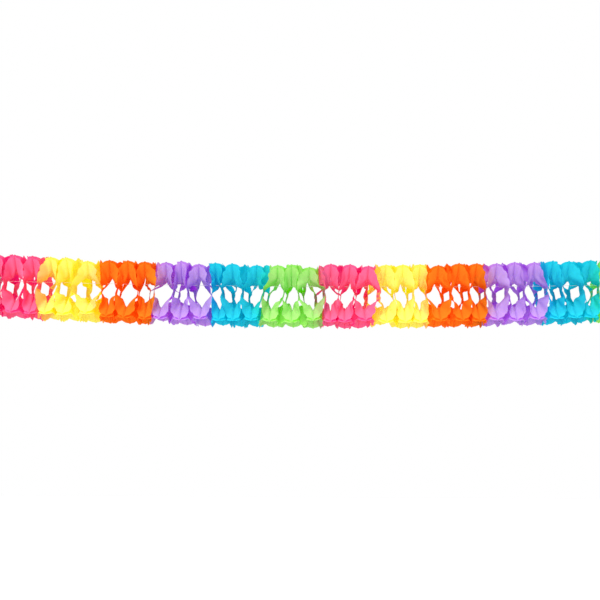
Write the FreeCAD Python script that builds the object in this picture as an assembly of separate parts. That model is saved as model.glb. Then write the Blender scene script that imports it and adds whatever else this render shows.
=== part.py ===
import FreeCAD, Part
import math
import os

# Tissue paper garland, pulled out and hung between two points. All sizes are in millimetres.
# X runs along the garland, Y from front to back and Z up. The origin is the centre of its box.
# Identical die-cut leaves of tissue stand side by side, glued in two alternating patterns.
# Two leaves glued at their four corner lobes make a cell, and cells are glued to each other
# along the four notches in the middles of the leaves' sides. Pulled out, each cell opens like
# a honeycomb. A thread runs through the leaves' centre holes from one end card to the other.

# Driving dimensions of the row of cells
band_colours = ["pink", "yellow", "orange", "purple", "blue", "green"] * 2
cells_per_band = 3
cell_pitch = 45.0
garland_sag = 23.0

# Leaf, as it stands when it is pulled out. Reach is measured from the leaf's centre
# towards the middle of a side, and a second value is measured along that side.
tissue_thickness = 0.3
notch_reach = 64.0
notch_glue_half_width = 2.5
shoulder_reach = 74.5
shoulder_offset = 11.0
brow_reach = 71.8
brow_offset = 53.0
tip_reach = 69.5
root_reach = 45.5
hole_corner_reach = 27.5
hole_side_reach = 12.0

# How far a point of the leaf has risen from the notch glue plane, 0, to the lobe glue plane, 1
shoulder_rise = 0.08
hole_side_rise = 0.62

# End cards
card_thickness = 0.8
card_half_width = 80.0
card_corner_radius = 10.0
hang_hole_radius = 3.0
hang_hole_edge_distance = 8.0

# Thread, which sits in the top corners of the leaves' holes at mid span
thread_radius = 0.5
thread_seat_gap = 0.3
thread_hole_clearance = 0.3
thread_sag = 10.0
thread_sides = 8
knot_radius = 2.2
knot_length = 3.2
knot_grip = 0.6

# Worked out from the driving dimensions
cell_count = cells_per_band * len(band_colours)
row_half_length = cell_count * cell_pitch / 2
row_outer_half_length = row_half_length + card_thickness
box_top = garland_sag + card_half_width
box_bottom = -shoulder_reach
centre_line_low = -(box_top + box_bottom) / 2
hole_edge_length = math.hypot(hole_side_reach, hole_corner_reach - hole_side_reach)
thread_seat_drop = (thread_radius + thread_seat_gap) * hole_edge_length / hole_side_reach
thread_low = centre_line_low + hole_corner_reach - thread_seat_drop
thread_hole_radius = thread_radius + thread_hole_clearance


def centre_line(x):
    """Height of the paper's centre line where two cells meet."""
    return centre_line_low + garland_sag * (x / row_half_length) ** 2


def thread_line(x):
    """Height of the thread, a little straighter than the paper."""
    return thread_low + thread_sag * (x / row_half_length) ** 2


def turned(side, reach, offset):
    """Y and Z of a point given by its reach towards one of the four sides."""
    angle = math.radians(90 * side)
    along = (math.cos(angle), math.sin(angle))
    across = (-math.sin(angle), math.cos(angle))
    return (reach * along[0] + offset * across[0], reach * along[1] + offset * across[1])


class CellPoints:
    """Corner points of one cell, sheared with the slope of the centre line there."""

    def __init__(self, start_x):
        self.start_x = start_x
        self.start_z = centre_line(start_x)
        self.slope = (centre_line(start_x + cell_pitch) - self.start_z) / cell_pitch

    def place(self, x, y, z):
        """Point of the garland at a distance x into the cell."""
        return FreeCAD.Vector(self.start_x + x, y, self.start_z + self.slope * x + z)

    def leaf_point(self, second, inside, side, reach, offset, rise):
        """Point on one face of a leaf. The second leaf mirrors the first across the cell."""
        y, z = turned(side, reach, offset)
        x = rise * (cell_pitch / 2 - tissue_thickness)
        if inside:
            x += tissue_thickness
        if second:
            x = cell_pitch - x
        return self.place(x, y, z)


def leaf_facets(cell, second):
    """Triangles of one leaf, apart from the lobe faces that it shares with the other leaf."""

    def point(inside, side, reach, offset, rise):
        return cell.leaf_point(second, inside, side, reach, offset, rise)

    facets = []
    for side in range(4):
        hole_corner = [point(face, side, hole_corner_reach, 0, 0) for face in (False, True)]
        notch = point(True, side, notch_reach, 0, 0)
        lips = [point(False, side, notch_reach, hand * notch_glue_half_width, 0) for hand in (-1, 1)]
        facets.append((lips[0], lips[1], hole_corner[0]))
        facets.append((lips[0], lips[1], notch))
        for hand, lip in zip((-1, 1), lips):
            shoulder = [
                point(face, side, shoulder_reach, hand * shoulder_offset, shoulder_rise) for face in (False, True)
            ]
            brow = [point(face, side, brow_reach, hand * brow_offset, 1) for face in (False, True)]
            tip = [point(face, side, tip_reach, hand * tip_reach, 1) for face in (False, True)]
            root = [point(face, side, root_reach, hand * root_reach, 1) for face in (False, True)]
            hole_side = [
                point(face, side, hole_side_reach, hand * hole_side_reach, hole_side_rise) for face in (False, True)
            ]
            edge = (lip, notch)
            for face in (0, 1):
                facets.append((edge[face], shoulder[face], hole_corner[face]))
                facets.append((shoulder[face], brow[face], root[face]))
                facets.append((shoulder[face], root[face], hole_corner[face]))
                facets.append((hole_corner[face], root[face], hole_side[face]))
            facets.append((root[0], brow[0], tip[0]))
            for first_pair, second_pair in ((edge, shoulder), (shoulder, brow), (brow, tip), (hole_corner, hole_side)):
                facets.append((first_pair[0], second_pair[0], second_pair[1]))
                facets.append((first_pair[0], second_pair[1], first_pair[1]))
    return facets


def closed_solid(facets):
    """One solid from triangles that enclose it."""
    faces = [Part.Face(Part.makePolygon([a, b, c, a])) for a, b, c in facets]
    shell = Part.Shell(faces)
    shell.sewShape()
    solid = Part.Solid(shell)
    if solid.Volume < 0:
        solid.reverse()
    return solid


def make_cell(index):
    """Two leaves glued at their corner lobes, with their notches on the cell's end planes."""
    cell = CellPoints(-row_half_length + index * cell_pitch)
    return closed_solid(leaf_facets(cell, False) + leaf_facets(cell, True))


def make_card(hand):
    """Square board glued to the last leaf, with a hole to hang it by and one for the thread."""
    centre_z = centre_line(row_half_length)
    width = 2 * card_half_width
    start_x = row_half_length if hand > 0 else -row_outer_half_length
    board = Part.makeBox(
        card_thickness, width, width, FreeCAD.Vector(start_x, -card_half_width, centre_z - card_half_width)
    )
    corners = [edge for edge in board.Edges if edge.BoundBox.XLength > card_thickness / 2]
    board = board.makeFillet(card_corner_radius, corners)
    along = FreeCAD.Vector(1, 0, 0)
    hang_z = centre_z + card_half_width - hang_hole_edge_distance
    hang_hole = Part.makeCylinder(hang_hole_radius, card_thickness, FreeCAD.Vector(start_x, 0, hang_z), along)
    thread_z = thread_line(row_half_length)
    thread_hole = Part.makeCylinder(thread_hole_radius, card_thickness, FreeCAD.Vector(start_x, 0, thread_z), along)
    return board.cut(hang_hole).cut(thread_hole)


def thread_ring(x, z, radius):
    """Points round the thread, with a few flats for its round section."""
    angles = [2 * math.pi * step / thread_sides for step in range(thread_sides)]
    return [FreeCAD.Vector(x, radius * math.cos(angle), z + radius * math.sin(angle)) for angle in angles]


def solid_through(rings):
    """Solid that joins rings of points in their order, closed flat at both ends."""
    facets = []
    for step in range(thread_sides):
        following = (step + 1) % thread_sides
        for near, far in zip(rings, rings[1:]):
            facets.append((near[step], near[following], far[following]))
            facets.append((near[step], far[following], far[step]))
        if 0 < step < thread_sides - 1:
            for cap in (rings[0], rings[-1]):
                facets.append((cap[0], cap[step], cap[following]))
    return closed_solid(facets)


def make_thread():
    """Thread in a shallow arc of straight runs, one to each band of colour."""
    runs = len(band_colours)
    stations = [row_outer_half_length * (2 * step / runs - 1) for step in range(runs + 1)]
    return solid_through([thread_ring(x, thread_line(x), thread_radius) for x in stations])


def make_knot(hand):
    """Knot at the thread's end, pulled against the card and too wide for its thread hole."""
    end_radius = thread_hole_radius + knot_grip
    z = thread_line(row_outer_half_length)
    rings = []
    for share, radius in ((0, end_radius), (0.5, knot_radius), (1, end_radius)):
        rings.append(thread_ring(hand * (row_outer_half_length + share * knot_length), z, radius))
    return solid_through(rings)


def export(name, shape):
    """Write one piece to its own file."""
    if not shape.isValid():
        raise ValueError(name + " is not a valid solid")
    shape.exportStep("parts/" + name + ".step")
    print(name, len(shape.Solids), "solids", len(shape.Faces), "faces", round(shape.Volume, 1), "mm3")


def main():
    os.makedirs("parts", exist_ok=True)
    for index in range(cell_count):
        colour = band_colours[index // cells_per_band]
        export("cell_%02d_%s" % (index + 1, colour), make_cell(index))
    for name, hand in (("left", -1), ("right", 1)):
        export("end_card_" + name, make_card(hand))
        export("knot_" + name, make_knot(hand))
    export("thread", make_thread())


main()
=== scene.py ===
import math

import bpy
import numpy as np
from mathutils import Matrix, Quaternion, Vector


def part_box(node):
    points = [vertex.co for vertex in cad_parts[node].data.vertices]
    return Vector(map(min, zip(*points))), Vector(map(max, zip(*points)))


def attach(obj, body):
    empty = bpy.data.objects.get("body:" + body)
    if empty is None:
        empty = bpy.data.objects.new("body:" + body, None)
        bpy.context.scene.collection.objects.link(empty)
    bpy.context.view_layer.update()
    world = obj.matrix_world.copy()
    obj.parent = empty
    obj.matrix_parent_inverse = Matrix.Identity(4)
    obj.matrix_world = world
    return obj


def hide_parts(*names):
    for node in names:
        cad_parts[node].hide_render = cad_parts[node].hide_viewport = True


# Tissue paper garland, pulled out and hung in a shallow sag. Lengths are in metres.
# Each leaf of tissue starts flat, as it was cut, and is pulled out between its glue lines.

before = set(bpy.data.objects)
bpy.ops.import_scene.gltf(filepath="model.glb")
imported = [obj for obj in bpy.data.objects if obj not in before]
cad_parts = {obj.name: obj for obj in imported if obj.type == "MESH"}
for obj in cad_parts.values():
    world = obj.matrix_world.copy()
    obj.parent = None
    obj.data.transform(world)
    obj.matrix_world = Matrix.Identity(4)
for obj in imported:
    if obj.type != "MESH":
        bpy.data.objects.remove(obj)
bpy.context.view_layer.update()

# Leaf as it was cut: a square with bulging sides, a notch in the middle of each side, and
# a hole that reaches further towards the corners. Reach is measured from the leaf's centre
# towards the middle of a side.
SIDE_REACH = 0.086
CORNER_REACH = 0.0755
SIDE_BULGE_POWER = 3
NOTCH_REACH = 0.070
NOTCH_HALF_WIDTH = 0.014
NOTCH_ROUNDING = 0.6
HOLE_REACH = 0.039
HOLE_CORNER_RADIUS = 0.047
HOLE_ROUNDING = 1.2
SCALLOPS_PER_HALF_SIDE = 3
SCALLOP_DEPTH = 0.0042
SCALLOP_ROUNDING = 0.7
SCALLOP_MIDDLE = 0.6
SPIKE_LENGTH = 0.0075
SPIKE_SHARE = 0.05
OUTLINE_HALVINGS = 40

# Glue lines: along the diagonals from this distance outwards, and in a band at each notch
LOBE_GLUE_START = 0.0665
LOBE_GLUE_HALF_ANGLE = 0.01
NOTCH_GLUE_HALF_WIDTH = 0.0095

# Shape that a leaf starts from before its paper is pulled to length
START_SIZE = 0.92
START_LOBE_HALF_ANGLE = math.radians(12.0)
START_LOBE_POWER = 1.3

# How hard the free edges of the lobes push away from each other, and where along the edge
FLARE_PUSH = 0.00006
LOWER_FLARE_SHARE = 0.3
FLARE_FROM_DIAGONAL = math.radians(4.5)
FLARE_SPREAD = math.radians(3.5)
PAPER_GAP = 0.0003

# Grid of points that each leaf is pulled out on, and the finer one that it is drawn on
AROUND = 96
OUTWARD = 10
DRAWN_AROUND = 3
DRAWN_OUTWARD = 14
SINGLE_LEAF_STEPS = 700
ROW_STEPS = 110
SOLVER_PASSES = 4
STRETCH_SHARE = 1.6
BEND_SHARE = 0.02
KEPT_SPEED = 0.97
DRIFT_TAKEN_BACK = 0.1
TINY_LENGTH = 1e-9

# How unevenly the cells open, as a standard deviation. The two ends of the row stay even.
UNEVEN_PITCH = 0.0045
UNEVEN_TILT = 0.0090
UNEVEN_CREASE = 0.0013
EVEN_END_POWER = 8
CREASE_WAVES = (3, 5, 6, 9)
CREASE_PHASE = 6.3
CREASE_AT_HOLE = 0.3
RANDOM_SEED = 11

# Photograph's view: metres to a pixel, and where the garland's middle is in it
PHOTO_PIXELS = 600
PHOTO_SCALE = 0.00246
GARLAND_MIDDLE_PX = (320.0, 297.0)
CAMERA_DISTANCE = 2.5
CAMERA_ELEVATION = math.radians(-7.5)
CAMERA_ROLL = math.radians(0.33)
SENSOR_WIDTH_MM = 36.0

# Light, and the floor well below the garland
WHITE = (1, 1, 1, 1)
WORLD_LIGHT = 0.95
SUN_LIGHT = 3.0
SUN_ANGLE = math.radians(30)
SUN_TURN = (math.radians(72), 0, math.radians(-12))
FLOOR_HEIGHT = -0.75
FLOOR_HALF_SIZE = 4.0
FLOOR_COLOUR = (0.92, 0.92, 0.92, 1)
FLOOR_ROUGHNESS = 0.9

# Tissue: the share of light that goes through it, its mottling and its grain
TRANSLUCENT_SHARE = 0.62
FLAT_MAP = "FlatLeaf"
MOTTLE_SHARE = 0.93
MOTTLE_SCALE = 60.0
MOTTLE_DETAIL = 6.0
MOTTLE_BUMP = 0.12
MOTTLE_DEPTH = 0.001

# Colour of the light that comes through each tissue, and of the light that it throws back
TISSUE_COLOURS = {
    "pink": ((1.0, 0.00, 0.18), (1.0, 0.34, 0.62)),
    "yellow": ((1.0, 0.92, 0.00), (1.0, 1.00, 0.36)),
    "orange": ((1.0, 0.08, 0.00), (1.0, 0.42, 0.03)),
    "purple": ((0.36, 0.03, 0.78), (0.94, 0.66, 0.98)),
    "blue": ((0.00, 0.50, 0.72), (0.05, 0.94, 1.00)),
    "green": ((0.14, 0.80, 0.00), (0.82, 1.00, 0.46)),
}

# Board and cotton: plain colour, darker colour and scale of the grain
BOARD_LOOK = ((0.76, 0.75, 0.72), (0.64, 0.63, 0.60), 900.0)
COTTON_LOOK = ((0.90, 0.86, 0.86), (0.76, 0.71, 0.71), 3000.0)
MATT_ROUGHNESS = 0.85
GRAIN_DETAIL = 5.0
GRAIN_BUMP = 0.3
GRAIN_DEPTH = 0.0001

# Thread of two plies twisted together, and the knot at each end
PLY_RADIUS = 0.00028
PLY_OFFSET = 0.00022
TWIST_LENGTH = 0.0045
STEPS_PER_TWIST = 8
PLY_SIDES = 6
PLY_END_SHARE = 0.1
KNOT_STEPS = 72
KNOT_SIDES = 10
KNOT_THREAD_RADIUS = 0.00046

# Places taken from the frame. A leaf's glue lines lie one rise either side of its middle.
cells = sorted(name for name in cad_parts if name.startswith("cell_"))
row_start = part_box(cells[0])[0].x
row_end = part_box(cells[-1])[1].x
pitch = (row_end - row_start) / len(cells)
rise = pitch / 4
card_low, card_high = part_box("end_card_left")
mid_low, mid_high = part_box(cells[len(cells) // 2])
centre_line_low = (mid_low.z + mid_high.z) / 2
centre_line_sag = (card_low.z + card_high.z) / 2 - centre_line_low


def centre_line(x):
    """Height of the paper's centre line at x."""
    return centre_line_low + centre_line_sag * (x / row_end) ** 2


def angle_to_side(angle):
    """Angle from the nearest middle of a side, at most 45 degrees."""
    turned = np.mod(angle, math.pi / 2)
    return np.minimum(turned, math.pi / 2 - turned)


def side_reach(offset):
    """Reach of the leaf's side at an offset from the side's middle."""
    share = np.clip((offset - NOTCH_HALF_WIDTH) / (CORNER_REACH - NOTCH_HALF_WIDTH), 0, 1)
    bulge = SIDE_REACH - (SIDE_REACH - CORNER_REACH) * share**SIDE_BULGE_POWER
    notch = np.clip(offset / NOTCH_HALF_WIDTH, 0, 1) ** NOTCH_ROUNDING
    return np.where(offset < NOTCH_HALF_WIDTH, NOTCH_REACH + (SIDE_REACH - NOTCH_REACH) * notch, bulge)


def outer_offset(angle):
    """Offset along the side where a ray at this angle leaves the leaf."""
    near = angle_to_side(angle)
    low = np.zeros_like(near)
    high = np.full_like(near, CORNER_REACH)
    for _ in range(OUTLINE_HALVINGS):
        middle = (low + high) / 2
        inside = np.arctan2(middle, side_reach(middle)) < near
        low = np.where(inside, middle, low)
        high = np.where(inside, high, middle)
    return (low + high) / 2


def outer_radius(angle):
    """Distance from the centre to the leaf's edge, scallops apart."""
    offset = outer_offset(angle)
    return np.hypot(offset, side_reach(offset))


def hole_radius(angle):
    """Distance from the centre to the edge of the hole, which reaches out to the lobes."""
    towards_corner = np.sin(2 * angle_to_side(angle)) ** HOLE_ROUNDING
    return HOLE_REACH + (HOLE_CORNER_RADIUS - HOLE_REACH) * towards_corner


def scallop(angle):
    """How far the scalloped edge stands out from or into the plain one."""
    offset = outer_offset(angle)
    along = np.clip((offset - NOTCH_HALF_WIDTH) / (CORNER_REACH - NOTCH_HALF_WIDTH), 0, 1)
    wave = np.abs(np.sin(math.pi * SCALLOPS_PER_HALF_SIDE * along))
    spike = SPIKE_LENGTH * np.exp(-(((1 - along) / SPIKE_SHARE) ** 2))
    edge = SCALLOP_DEPTH * (wave**SCALLOP_ROUNDING - SCALLOP_MIDDLE) + spike
    return np.where(offset > NOTCH_HALF_WIDTH, edge, 0.0)


def flat_leaf(angles, shares):
    """Points of the flat leaf, by angle and by share of the way from hole to edge."""
    inner = hole_radius(angles)[:, None]
    outer = outer_radius(angles)[:, None]
    radius = inner + (outer - inner) * shares
    points = np.zeros(radius.shape + (3,))
    points[..., 1] = radius * np.sin(angles)[:, None]
    points[..., 2] = radius * np.cos(angles)[:, None]
    return points


def pairs(points, around, outward):
    """Each point and its neighbour some steps around and outward."""
    turned = np.roll(points, -around, axis=1)
    rows = points.shape[2]
    if outward >= 0:
        return points[:, :, : rows - outward], turned[:, :, outward:]
    return points[:, :, -outward:], turned[:, :, :outward]


def add_to_pairs(total, push, around, outward):
    """Adds a push to each point and takes it from its neighbour."""
    rows = total.shape[2]
    taken = np.zeros_like(total)
    if outward >= 0:
        total[:, :, : rows - outward] += push
        taken[:, :, outward:] = push
    else:
        total[:, :, -outward:] += push
        taken[:, :, :outward] = push
    total -= np.roll(taken, around, axis=1)


class Sheets:
    """Leaves of paper that keep their lengths while they are pulled into shape."""

    kept_links = ((1, 0), (0, 1), (1, 1), (1, -1))
    bent_links = ((2, 0), (0, 2))
    inner_link_count = 8.0
    edge_link_count = 5.0

    def __init__(self, flat):
        flat = flat[None].astype(np.float32)
        self.rest = {}
        for link in self.kept_links + self.bent_links:
            near, far = pairs(flat, *link)
            self.rest[link] = np.linalg.norm(far - near, axis=-1)
        self.weight = STRETCH_SHARE / self.link_count(flat.shape[2])

    def link_count(self, rows):
        """Number of kept links at each point, which is less at the hole and at the edge."""
        count = np.full(rows, self.inner_link_count, np.float32)
        count[0] = count[-1] = self.edge_link_count
        return count[None, None, :, None]

    def pushes(self, points, links, only_apart):
        """Half of what each linked point is off its distance on the flat leaf."""
        total = np.zeros_like(points)
        for link in links:
            near, far = pairs(points, *link)
            apart = far - near
            length = np.sqrt(np.einsum("...i,...i", apart, apart)) + TINY_LENGTH
            excess = length - self.rest[link]
            if only_apart:
                excess = np.minimum(excess, 0)
            add_to_pairs(total, apart * (0.5 * excess / length)[..., None], *link)
        return total

    def keep_lengths(self, points):
        """One pass that keeps the paper's lengths and resists sharp bends."""
        points += self.pushes(points, self.kept_links, False) * self.weight
        points += self.pushes(points, self.bent_links, True) * BEND_SHARE

    def pull(self, points, steps, hold):
        """Moves the points step by step, and holds them after each pass."""
        points = points.astype(np.float32)
        speed = np.zeros_like(points)
        for _ in range(steps):
            before = points.copy()
            points += KEPT_SPEED * speed
            for _ in range(SOLVER_PASSES):
                self.keep_lengths(points)
                hold(points)
            speed = points - before
        return points


def glue_masks(angles, flat):
    """Which points are glued at the corner lobes and at the notches."""
    radius = np.linalg.norm(flat, axis=-1)
    near = angle_to_side(angles)[:, None]
    from_diagonal = math.pi / 4 - near
    at_lobe = (from_diagonal < LOBE_GLUE_HALF_ANGLE) & (radius > LOBE_GLUE_START)
    at_notch = radius * np.sin(near) < NOTCH_GLUE_HALF_WIDTH
    return at_lobe, at_notch


def flare_push(angles, rows):
    """Push of the lobes' free edges away from the lobe that they are glued to."""
    from_diagonal = math.pi / 4 - angle_to_side(angles)
    flare = np.exp(-(((from_diagonal - FLARE_FROM_DIAGONAL) / FLARE_SPREAD) ** 2))
    lower_more = 1 - LOWER_FLARE_SHARE * np.cos(angles)
    return FLARE_PUSH * (lower_more * flare)[:, None] * np.linspace(0, 1, rows) ** 2


def pull_single_leaf(sheets, flat, lobe_glue, notch_glue, angles):
    """One leaf between two flat planes, as an even row would hold it."""
    start = flat.copy()
    from_diagonal = math.pi / 4 - angle_to_side(angles)[:, None]
    inner_wave = np.cos(4 * from_diagonal)
    outer_wave = 2 * np.exp(-((from_diagonal / START_LOBE_HALF_ANGLE) ** START_LOBE_POWER)) - 1
    outward = np.linspace(0, 1, flat.shape[1]) ** 2
    start[..., 0] = rise * (inner_wave * (1 - outward) + outer_wave * outward)
    start[..., 1:] *= START_SIZE
    flare = flare_push(angles, flat.shape[1])

    def hold(points):
        points[..., 0] -= flare
        points[:, lobe_glue, 0] = rise
        points[:, notch_glue, 0] = -rise
        np.clip(points[..., 0], -rise, rise, out=points[..., 0])

    return sheets.pull(start[None], SINGLE_LEAF_STEPS, hold)[0]


def glue_planes(rng, flat, places):
    """X of each glue plane at the leaf's points: uneven, and square to the sagging line."""
    share = flat[..., 1:] / CORNER_REACH
    spreads = np.array([[UNEVEN_PITCH], [UNEVEN_TILT], [UNEVEN_TILT]])
    shift, across, upward = rng.normal(0, 1, (3, len(places))) * spreads
    loose = 1 - (places / row_end) ** EVEN_END_POWER
    lean = -2 * centre_line_sag * places / row_end**2 * CORNER_REACH
    planes = (places + loose * shift)[:, None, None] + (loose * across)[:, None, None] * share[..., 0]
    return planes + (loose * (upward + lean))[:, None, None] * share[..., 1]


def pull_row(sheets, leaf, flat, angles, lobe_glue, notch_glue):
    """All the leaves of the row, glued in turn at their notches and their lobes."""
    rng = np.random.default_rng(RANDOM_SEED)
    cell_count = len(cells)
    notch_planes = glue_planes(rng, flat, row_start + pitch * np.arange(cell_count + 1))
    share = (leaf[..., 0] + rise) / (2 * rise)
    row = np.zeros((2 * cell_count,) + leaf.shape)
    for index in range(cell_count):
        lobe_x = (notch_planes[index] + notch_planes[index + 1]) / 2
        for second in (0, 1):
            notch_x = notch_planes[index + second]
            place = row[2 * index + second]
            place[..., 0] = notch_x + (lobe_x - notch_x) * share
            place[..., 1:] = leaf[..., 1:]
            place[..., 2] += centre_line(place[..., 0])
    held_notches = notch_planes[1:-1][:, notch_glue]
    waves = np.stack([np.cos(wave * angles + rng.uniform(0, CREASE_PHASE)) for wave in CREASE_WAVES])
    creases = rng.normal(0, UNEVEN_CREASE, (2 * cell_count, len(CREASE_WAVES))) @ waves
    row[..., 0] += creases[:, :, None] * np.linspace(CREASE_AT_HOLE, 1.0, leaf.shape[1])
    even_middle = row[..., 1:].mean(axis=(1, 2))
    flare = flare_push(angles, leaf.shape[1])

    def hold(points):
        firsts, seconds = points[0::2], points[1::2]
        firsts[..., 0] -= flare
        seconds[..., 0] += flare
        short = PAPER_GAP - (points[1:, ..., 0] - points[:-1, ..., 0])
        push = np.maximum(short, 0) / 2
        points[1:, ..., 0] += push
        points[:-1, ..., 0] -= push
        joined = (firsts[:, lobe_glue] + seconds[:, lobe_glue]) / 2
        firsts[:, lobe_glue] = joined
        seconds[:, lobe_glue] = joined
        lefts, rights = points[1:-1:2], points[2::2]
        joined = (lefts[:, notch_glue] + rights[:, notch_glue]) / 2
        joined[..., 0] = held_notches
        lefts[:, notch_glue] = joined
        rights[:, notch_glue] = joined
        points[0][notch_glue, 0] = row_start
        points[-1][notch_glue, 0] = row_end
        np.clip(points[..., 0], row_start + PAPER_GAP, row_end - PAPER_GAP, out=points[..., 0])
        drift = points[..., 1:].mean(axis=(1, 2)) - even_middle
        points[..., 1:] -= DRIFT_TAKEN_BACK * drift[:, None, None, :]

    return sheets.pull(row, ROW_STEPS, hold)


def drawn_grid(leaves, angles):
    """Points on the finer grid, on smooth curves around the leaves, with the scalloped edge."""
    turns = len(angles)
    steps = np.arange(turns * DRAWN_AROUND) / DRAWN_AROUND
    base = np.floor(steps).astype(int)
    part = (steps - base)[None, :, None, None]
    around = [leaves[:, (base + shift) % turns] for shift in (-1, 0, 1, 2)]
    smooth = (
        around[1]
        + 0.5 * part * (around[2] - around[0])
        + part**2 * (around[0] - 2.5 * around[1] + 2 * around[2] - 0.5 * around[3])
        + 0.5 * part**3 * (3 * (around[1] - around[2]) + around[3] - around[0])
    )
    fine_angles = steps * 2 * math.pi / turns
    span = outer_radius(fine_angles) - hole_radius(fine_angles)
    edge = 1 + scallop(fine_angles) / span
    shares = np.linspace(0, 1, DRAWN_OUTWARD + 1)[None, :] * edge[:, None]
    place = shares * (leaves.shape[2] - 1)
    low = np.clip(np.floor(place).astype(int), 0, leaves.shape[2] - 2)
    part = (place - low)[None, ..., None]
    columns = np.arange(len(steps))[:, None]
    points = smooth[:, columns, low] * (1 - part) + smooth[:, columns, low + 1] * part
    flat = flat_leaf(fine_angles, shares)[..., 1:]
    return points, flat


def leaf_faces(around, outward, first):
    """Quads of one leaf whose points start at an index."""
    i = np.arange(around)[:, None]
    j = np.arange(outward - 1)[None, :]
    following = (i + 1) % around
    corners = (i * outward + j, following * outward + j, following * outward + j + 1, i * outward + j + 1)
    return np.stack(corners, axis=-1).reshape(-1, 4) + first


def make_mesh(name, points, faces, flat):
    """Mesh object from arrays, with its flat shape as its map."""
    mesh = bpy.data.meshes.new(name)
    mesh.vertices.add(len(points))
    mesh.vertices.foreach_set("co", points.astype(np.float32).ravel())
    mesh.loops.add(faces.size)
    mesh.loops.foreach_set("vertex_index", faces.astype(np.int32).ravel())
    mesh.polygons.add(len(faces))
    mesh.polygons.foreach_set("loop_start", np.arange(0, faces.size, 4, dtype=np.int32))
    mesh.update(calc_edges=True)
    mesh.validate()
    mesh.polygons.foreach_set("use_smooth", np.ones(len(faces), bool))
    layer = mesh.uv_layers.new(name=FLAT_MAP)
    layer.data.foreach_set("uv", flat[faces.ravel()].astype(np.float32).ravel())
    piece = bpy.data.objects.new(name, mesh)
    bpy.context.scene.collection.objects.link(piece)
    return piece


def crease_lobes(mesh, around, outward):
    """Marks the leaf's four diagonals, where the lobes are folded, as sharp edges."""
    ends = np.empty(2 * len(mesh.edges), np.int32)
    mesh.edges.foreach_get("vertices", ends)
    columns = ends.reshape(-1, 2) // outward % around
    on_diagonal = columns[:, 0] % (around // 4) == around // 8
    mesh.edges.foreach_set("use_edge_sharp", on_diagonal & (columns[:, 0] == columns[:, 1]))


def node_link(tree, *links):
    """Links pairs of sockets."""
    for source, target in links:
        tree.links.new(source, target)


def tissue_material(name, through, reflected):
    """Thin tissue paper that lets light through, with faint fibres and mottling."""
    material = bpy.data.materials.new(name)
    material.use_nodes = True
    tree = material.node_tree
    tree.nodes.clear()
    output = tree.nodes.new("ShaderNodeOutputMaterial")
    mix = tree.nodes.new("ShaderNodeMixShader")
    mix.inputs["Fac"].default_value = TRANSLUCENT_SHARE
    front = tree.nodes.new("ShaderNodeBsdfDiffuse")
    back = tree.nodes.new("ShaderNodeBsdfTranslucent")
    where = tree.nodes.new("ShaderNodeUVMap")
    where.uv_map = FLAT_MAP
    cloud = tree.nodes.new("ShaderNodeTexNoise")
    cloud.inputs["Scale"].default_value = MOTTLE_SCALE
    cloud.inputs["Detail"].default_value = MOTTLE_DETAIL
    node_link(tree, (where.outputs["UV"], cloud.inputs["Vector"]))
    for shader, colour in ((front, reflected), (back, through)):
        tint = tree.nodes.new("ShaderNodeMixRGB")
        tint.inputs["Color1"].default_value = (*[channel * MOTTLE_SHARE for channel in colour], 1)
        tint.inputs["Color2"].default_value = (*colour, 1)
        node_link(
            tree,
            (cloud.outputs["Fac"], tint.inputs["Fac"]),
            (tint.outputs["Color"], shader.inputs["Color"]),
        )
    bump = tree.nodes.new("ShaderNodeBump")
    bump.inputs["Strength"].default_value = MOTTLE_BUMP
    bump.inputs["Distance"].default_value = MOTTLE_DEPTH
    node_link(
        tree,
        (cloud.outputs["Fac"], bump.inputs["Height"]),
        (bump.outputs["Normal"], front.inputs["Normal"]),
        (front.outputs["BSDF"], mix.inputs[1]),
        (back.outputs["BSDF"], mix.inputs[2]),
        (mix.outputs["Shader"], output.inputs["Surface"]),
    )
    return material


def make_cells():
    """The pulled out leaves, two to a cell, each cell in place of its plain node."""
    angles = np.arange(AROUND) * 2 * math.pi / AROUND
    flat = flat_leaf(angles, np.linspace(0, 1, OUTWARD + 1)[None, :])
    lobe_glue, notch_glue = glue_masks(angles, flat)
    sheets = Sheets(flat)
    leaf = pull_single_leaf(sheets, flat, lobe_glue, notch_glue, angles)
    row = pull_row(sheets, leaf, flat, angles, lobe_glue, notch_glue)
    points, flat_points = drawn_grid(row, angles)
    flat_points = flat_points.reshape(-1, 2)
    around, outward = points.shape[1:3]
    materials = {}
    for colour, both in TISSUE_COLOURS.items():
        materials[colour] = tissue_material(colour + " tissue", *both)
    for index, node in enumerate(cells):
        both = points[2 * index : 2 * index + 2].reshape(-1, 3)
        faces = np.concatenate([leaf_faces(around, outward, first) for first in (0, around * outward)])
        piece = make_mesh("paper_" + node, both, faces, np.tile(flat_points, (2, 1)))
        crease_lobes(piece.data, around, outward)
        piece.data.materials.append(materials[node.split("_")[-1]])
        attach(piece, "root")
        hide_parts(node)


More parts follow.
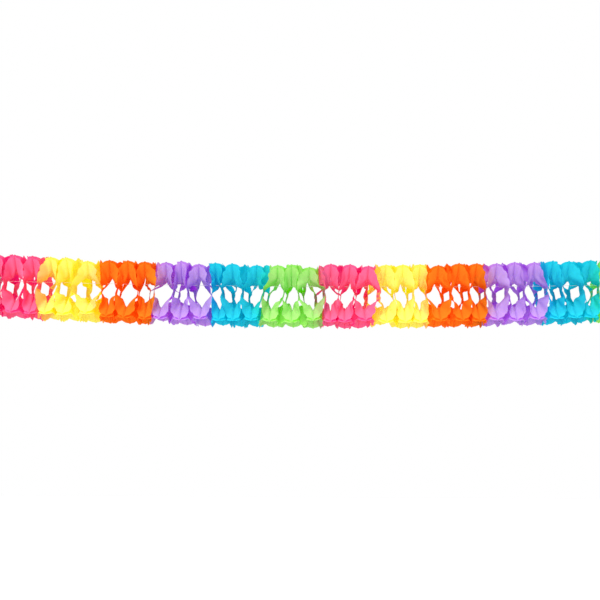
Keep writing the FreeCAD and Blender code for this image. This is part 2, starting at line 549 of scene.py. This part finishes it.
def tube(path, radius, sides, across, closed=False):
    """Points, quads and map of a tube on a path, which never runs in the across direction."""
    if closed:
        along = np.roll(path, -1, axis=0) - np.roll(path, 1, axis=0)
    else:
        along = np.gradient(path, axis=0)
    along /= np.linalg.norm(along, axis=1)[:, None]
    side = np.cross(along, across)
    side /= np.linalg.norm(side, axis=1)[:, None]
    upward = np.cross(side, along)
    turn = (np.arange(sides) * 2 * math.pi / sides)[None, :, None]
    width = np.full(len(path), radius)
    if not closed:
        width[[0, -1]] *= PLY_END_SHARE
    ring = np.cos(turn) * side[:, None] + np.sin(turn) * upward[:, None]
    points = path[:, None] + width[:, None, None] * ring
    i = np.arange(len(path) if closed else len(path) - 1)[:, None]
    j = np.arange(sides)[None, :]
    next_i = (i + 1) % len(path)
    next_j = (j + 1) % sides
    corners = (i * sides + j, next_i * sides + j, next_i * sides + next_j, i * sides + next_j)
    faces = np.stack(np.broadcast_arrays(*corners), axis=-1).reshape(-1, 4)
    lengths = np.cumsum(np.linalg.norm(np.diff(path, axis=0, prepend=path[:1]), axis=1))
    flat = np.stack(np.broadcast_arrays(lengths[:, None], radius * turn[0, :, 0][None, :]), axis=-1)
    return points.reshape(-1, 3), faces, flat.reshape(-1, 2)


def solid_material(name, colour, darker, scale):
    """Matt material with fine mottling and grain, for board and thread."""
    material = bpy.data.materials.new(name)
    material.use_nodes = True
    tree = material.node_tree
    shader = tree.nodes["Principled BSDF"]
    shader.inputs["Roughness"].default_value = MATT_ROUGHNESS
    where = tree.nodes.new("ShaderNodeTexCoord")
    grain = tree.nodes.new("ShaderNodeTexNoise")
    grain.inputs["Scale"].default_value = scale
    grain.inputs["Detail"].default_value = GRAIN_DETAIL
    tint = tree.nodes.new("ShaderNodeMixRGB")
    tint.inputs["Color1"].default_value = (*darker, 1)
    tint.inputs["Color2"].default_value = (*colour, 1)
    bump = tree.nodes.new("ShaderNodeBump")
    bump.inputs["Strength"].default_value = GRAIN_BUMP
    bump.inputs["Distance"].default_value = GRAIN_DEPTH
    node_link(
        tree,
        (where.outputs["Object"], grain.inputs["Vector"]),
        (grain.outputs["Fac"], tint.inputs["Fac"]),
        (tint.outputs["Color"], shader.inputs["Base Color"]),
        (grain.outputs["Fac"], bump.inputs["Height"]),
        (bump.outputs["Normal"], shader.inputs["Normal"]),
    )
    return material


def make_thread(material):
    """Two plies twisted together along the thread's shallow arc."""
    thread_low, thread_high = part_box("thread")
    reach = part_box("knot_right")[1].x
    ply_reach = PLY_OFFSET + PLY_RADIUS
    sag = thread_high.z - thread_low.z - 2 * ply_reach
    steps = int(round(2 * reach / TWIST_LENGTH * STEPS_PER_TWIST))
    x = np.linspace(-reach, reach, steps + 1)
    height = thread_low.z + ply_reach + sag * (x / thread_high.x) ** 2
    parts = []
    for start in (0, math.pi):
        turn = start + 2 * math.pi * x / TWIST_LENGTH
        path = np.stack([x, PLY_OFFSET * np.cos(turn), height + PLY_OFFSET * np.sin(turn)], axis=1)
        parts.append(tube(path, PLY_RADIUS, PLY_SIDES, (0, 1, 0)))
    points = np.concatenate([part[0] for part in parts])
    faces = np.concatenate([parts[0][1], parts[1][1] + len(parts[0][0])])
    flat = np.concatenate([part[2] for part in parts])
    piece = make_mesh("thread_twisted", points, faces, flat)
    piece.data.materials.append(material)
    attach(piece, "root")
    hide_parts("thread")


def make_knot(node, material):
    """Overhand knot drawn up tight against the card."""
    low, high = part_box(node)
    middle = (low + high) / 2
    loop = ((high.z - low.z) / 2 - KNOT_THREAD_RADIUS) / 3
    depth = (high.x - low.x) / 2 - KNOT_THREAD_RADIUS
    t = np.arange(KNOT_STEPS) * 2 * math.pi / KNOT_STEPS
    path = np.stack(
        [
            middle.x - depth * np.sin(3 * t),
            middle.y + loop * (np.sin(t) + 2 * np.sin(2 * t)),
            middle.z + loop * (np.cos(t) - 2 * np.cos(2 * t)),
        ],
        axis=1,
    )
    points, faces, flat = tube(path, KNOT_THREAD_RADIUS, KNOT_SIDES, (1, 0, 0), closed=True)
    piece = make_mesh("tied_" + node, points, faces, flat)
    piece.data.materials.append(material)
    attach(piece, "root")
    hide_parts(node)


def dress_cards():
    """White board on the two end cards, which keep their own shape."""
    board = solid_material("white board", *BOARD_LOOK)
    for node in ("end_card_left", "end_card_right"):
        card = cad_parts[node]
        card.data.materials.clear()
        card.data.materials.append(board)


def make_floor():
    """Plain pale floor, which isn't part of the garland."""
    size = FLOOR_HALF_SIZE
    corners = np.array([(-size, -size), (size, -size), (size, size), (-size, size)])
    points = np.column_stack([corners, np.full(4, FLOOR_HEIGHT)])
    floor = make_mesh("floor", points, np.array([[0, 1, 2, 3]]), corners)
    material = bpy.data.materials.new("pale floor")
    material.use_nodes = True
    shader = material.node_tree.nodes["Principled BSDF"]
    shader.inputs["Base Color"].default_value = FLOOR_COLOUR
    shader.inputs["Roughness"].default_value = FLOOR_ROUGHNESS
    floor.data.materials.append(material)


def make_camera():
    """Camera in the photograph's place, in front of the garland and a little below it."""
    data = bpy.data.cameras.new("camera")
    data.sensor_width = SENSOR_WIDTH_MM
    frame_width = PHOTO_PIXELS * PHOTO_SCALE
    data.lens = data.sensor_width * CAMERA_DISTANCE / frame_width
    camera = bpy.data.objects.new("camera", data)
    bpy.context.scene.collection.objects.link(camera)
    right_of_aim = (GARLAND_MIDDLE_PX[0] - PHOTO_PIXELS / 2) * PHOTO_SCALE
    above_aim = (PHOTO_PIXELS / 2 - GARLAND_MIDDLE_PX[1]) * PHOTO_SCALE
    aim = Vector((-right_of_aim, 0, centre_line_low - above_aim))
    back = Vector((0, -math.cos(CAMERA_ELEVATION), math.sin(CAMERA_ELEVATION)))
    camera.location = aim + back * CAMERA_DISTANCE
    camera.rotation_mode = "QUATERNION"
    roll = Quaternion((0, 0, 1), CAMERA_ROLL)
    camera.rotation_quaternion = (-back).to_track_quat("-Z", "Y") @ roll
    bpy.context.scene.camera = camera


def make_world():
    """White all round for the camera, and plain soft light."""
    world = bpy.data.worlds.new("studio")
    bpy.context.scene.world = world
    world.use_nodes = True
    tree = world.node_tree
    tree.nodes.clear()
    output = tree.nodes.new("ShaderNodeOutputWorld")
    seen = tree.nodes.new("ShaderNodeBackground")
    seen.inputs["Color"].default_value = WHITE
    lighting = tree.nodes.new("ShaderNodeBackground")
    lighting.inputs["Color"].default_value = WHITE
    lighting.inputs["Strength"].default_value = WORLD_LIGHT
    path = tree.nodes.new("ShaderNodeLightPath")
    mix = tree.nodes.new("ShaderNodeMixShader")
    node_link(
        tree,
        (path.outputs["Is Camera Ray"], mix.inputs["Fac"]),
        (lighting.outputs["Background"], mix.inputs[1]),
        (seen.outputs["Background"], mix.inputs[2]),
        (mix.outputs["Shader"], output.inputs["Surface"]),
    )


def make_lamps():
    """One soft sun from the front and above."""
    data = bpy.data.lights.new("sun", "SUN")
    data.energy = SUN_LIGHT
    data.angle = SUN_ANGLE
    lamp = bpy.data.objects.new("sun", data)
    lamp.rotation_euler = SUN_TURN
    bpy.context.scene.collection.objects.link(lamp)


make_camera()
make_world()
make_lamps()
make_floor()
make_cells()
cotton = solid_material("cotton thread", *COTTON_LOOK)
make_thread(cotton)
for knot in ("knot_left", "knot_right"):
    make_knot(knot, cotton)
dress_cards()
bpy.context.scene.view_settings.view_transform = "Standard"
